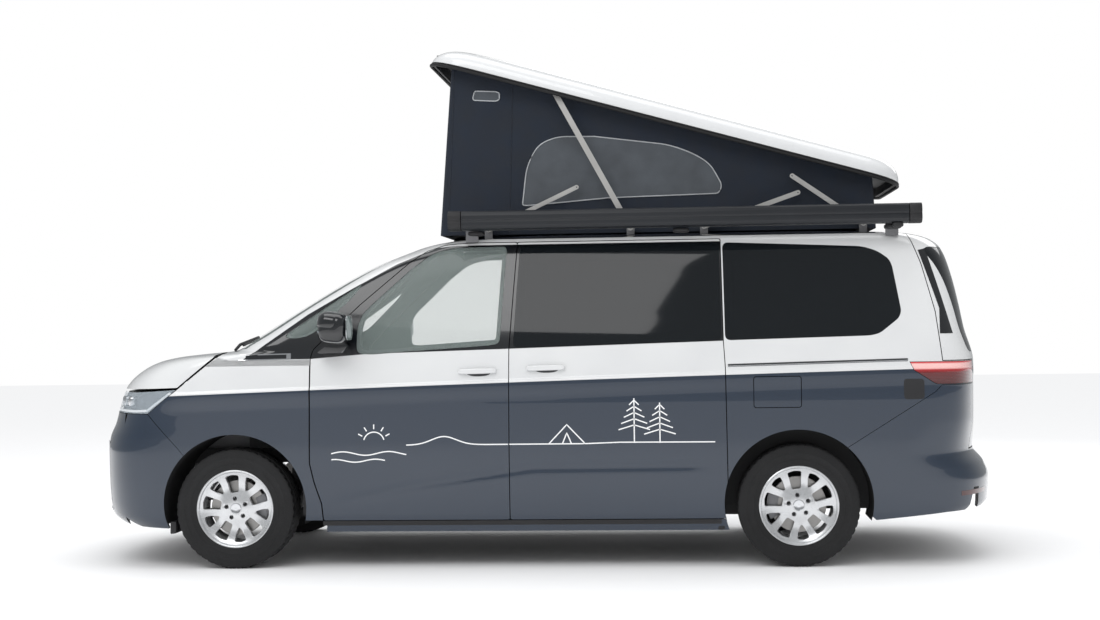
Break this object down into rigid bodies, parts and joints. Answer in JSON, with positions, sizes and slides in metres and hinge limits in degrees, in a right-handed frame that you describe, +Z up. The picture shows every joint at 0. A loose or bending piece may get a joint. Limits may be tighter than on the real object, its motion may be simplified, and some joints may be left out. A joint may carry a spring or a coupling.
{
  "type": "camper van",
  "caption": "Long camper van with hinged front doors, bonnet and tailgate, a side awning and a wedge pop-up roof with a fabric tent, standing open.",
  "frame": {"origin": "on the ground under the middle of the bounding box", "axes": "+X towards the tail, +Y towards the vehicle's right-hand side, +Z up"},
  "size_m": [5.172, 2.4114, 2.9301],
  "materials": {
    "white_paint": "gloss white paint",
    "blue_grey_paint": "gloss dark blue-grey paint",
    "clear_glass": "lightly tinted safety glass",
    "privacy_glass": "dark privacy glass",
    "lamp_clear": "clear lamp cover",
    "lamp_red": "red lamp cover",
    "black_plastic": "grained black plastic",
    "chassis": "black chassis paint",
    "cast_metal": "cast aluminium",
    "steel": "bare steel",
    "alloy": "silver alloy wheel",
    "rubber": "black tyre rubber",
    "canvas": "dark blue tent canvas",
    "seat_cloth": "dark grey seat cloth",
    "furniture": "pale laminate",
    "anthracite": "anthracite powder coat"
  },
  "bodies": {
    "van_body": {"body_shell": "white_paint", "front_wings": "white_paint", "front_bumper": "blue_grey_paint", "grille": "black_plastic", "headlights": "lamp_clear", "rear_bumper": "blue_grey_paint", "tail_lights": "lamp_red", "windscreen": "clear_glass", "fixed_side_glass": "privacy_glass", "sliding_doors": "white_paint", "sliding_door_glass": "privacy_glass", "floor_pan": "chassis", "bulkhead": "chassis", "hinge_posts": "white_paint", "lid_hinge_brackets": "steel", "dashboard": "black_plastic", "front_seats": "seat_cloth", "rear_bench": "seat_cloth", "kitchen_unit": "furniture", "awning_case": "anthracite", "roof_brackets": "cast_metal", "tent_canvas": "canvas", "engine": "cast_metal", "exhaust": "steel", "front_subframe": "chassis", "rear_axle": "chassis"},
    "left_door": {"door_left": "white_paint", "door_glass_left": "clear_glass", "mirror_left": "blue_grey_paint", "hinges_left": "steel"},
    "right_door": {"door_right": "white_paint", "door_glass_right": "clear_glass", "mirror_right": "blue_grey_paint", "hinges_right": "steel"},
    "bonnet": {"bonnet": "white_paint", "bonnet_hinges": "steel"},
    "tailgate": {"tailgate": "white_paint", "tailgate_glass": "privacy_glass", "tailgate_hinges": "steel"},
    "fuel_flap": {"fuel_flap": "white_paint"},
    "pop_roof": {"pop_roof": "white_paint"},
    "front_arms": {"front_arms": "alloy"},
    "front_struts": {"front_struts": "alloy"},
    "rear_links": {"rear_links": "alloy"},
    "rear_stays": {"rear_stays": "alloy"},
    "left_knuckle": {"knuckle_left": "chassis"},
    "right_knuckle": {"knuckle_right": "chassis"},
    "steering_wheel": {"steering_wheel": "black_plastic"},
    "front_left_wheel": {"tyre_front_left": "rubber", "wheel_front_left": "alloy"},
    "front_right_wheel": {"tyre_front_right": "rubber", "wheel_front_right": "alloy"},
    "rear_left_wheel": {"tyre_rear_left": "rubber", "wheel_rear_left": "alloy"},
    "rear_right_wheel": {"tyre_rear_right": "rubber", "wheel_rear_right": "alloy"}
  },
  "joints": [
    {"name": "front_left_wheel_spin", "type": "hinge", "parent": "left_knuckle", "child": "front_left_wheel", "pos_m": [-1.6735, -0.828, 0.334], "axis": [0, -1, 0], "continuous": true},
    {"name": "front_right_wheel_spin", "type": "hinge", "parent": "right_knuckle", "child": "front_right_wheel", "pos_m": [-1.6735, 0.828, 0.334], "axis": [0, -1, 0], "continuous": true},
    {"name": "rear_left_wheel_spin", "type": "hinge", "parent": "van_body", "child": "rear_left_wheel", "pos_m": [1.4505, -0.828, 0.334], "axis": [0, -1, 0], "continuous": true},
    {"name": "rear_right_wheel_spin", "type": "hinge", "parent": "van_body", "child": "rear_right_wheel", "pos_m": [1.4505, 0.828, 0.334], "axis": [0, -1, 0], "continuous": true},
    {"name": "steering_left", "type": "hinge", "parent": "van_body", "child": "left_knuckle", "pos_m": [-1.6735, -0.79, 0.334], "axis": [0, 0, 1], "range_deg": [-34, 34]},
    {"name": "steering_right", "type": "hinge", "parent": "van_body", "child": "right_knuckle", "pos_m": [-1.6735, 0.79, 0.334], "axis": [0, 0, 1], "range_deg": [-34, 34]},
    {"name": "steering_wheel_turn", "type": "hinge", "parent": "van_body", "child": "steering_wheel", "pos_m": [-1, -0.37, 1.09], "axis": [0.8829, 0, 0.4695], "range_deg": [-477, 477]},
    {"name": "left_door_hinge", "type": "hinge", "parent": "van_body", "child": "left_door", "pos_m": [-1.159, -0.94, 0.47], "axis": [0, 0, -1], "range_deg": [0, 67]},
    {"name": "right_door_hinge", "type": "hinge", "parent": "van_body", "child": "right_door", "pos_m": [-1.159, 0.94, 0.47], "axis": [0, 0, 1], "range_deg": [0, 67]},
    {"name": "bonnet_hinge", "type": "hinge", "parent": "van_body", "child": "bonnet", "pos_m": [-1.785, 0, 1.178], "axis": [0, 1, 0], "range_deg": [0, 55]},
    {"name": "tailgate_hinge", "type": "hinge", "parent": "van_body", "child": "tailgate", "pos_m": [2.118, 0, 1.812], "axis": [0, -1, 0], "range_deg": [0, 85]},
    {"name": "fuel_flap_hinge", "type": "hinge", "parent": "van_body", "child": "fuel_flap", "pos_m": [1.218, -0.964, 0.955], "axis": [0, 0, -1], "range_deg": [0, 95]},
    {"name": "roof_lift", "type": "hinge", "parent": "van_body", "child": "pop_roof", "pos_m": [2.913, 0, 1.861], "axis": [0, -1, 0], "range_deg": [0, 15.8], "deforming": ["tent_canvas"]},
    {"name": "front_arms_fold", "type": "hinge", "parent": "van_body", "child": "front_arms", "pos_m": [0.545, 0, 1.88], "axis": [0, -1, 0], "range_deg": [0, 62.3]},
    {"name": "front_struts_fold", "type": "hinge", "parent": "van_body", "child": "front_struts", "pos_m": [-0.265, 0, 1.88], "axis": [0, 1, 0], "range_deg": [0, 25]},
    {"name": "rear_links_fold", "type": "hinge", "parent": "van_body", "child": "rear_links", "pos_m": [0.96, 0, 1.88], "axis": [0, 1, 0], "range_deg": [0, 19]},
    {"name": "rear_stays_fold", "type": "hinge", "parent": "van_body", "child": "rear_stays", "pos_m": [1.85, 0, 1.88], "axis": [0, -1, 0], "range_deg": [0, 35.1]}
  ],
  "couplings": [
    {"joint": "steering_right", "follows": "steering_left", "ratio": 1},
    {"joint": "steering_wheel_turn", "follows": "steering_left", "ratio": 14},
    {"joint": "front_arms_fold", "follows": "roof_lift", "ratio": 3.9367},
    {"joint": "front_struts_fold", "follows": "roof_lift", "ratio": 1.5759},
    {"joint": "rear_links_fold", "follows": "roof_lift", "ratio": 1.1962},
    {"joint": "rear_stays_fold", "follows": "roof_lift", "ratio": 2.2152}
  ]
}
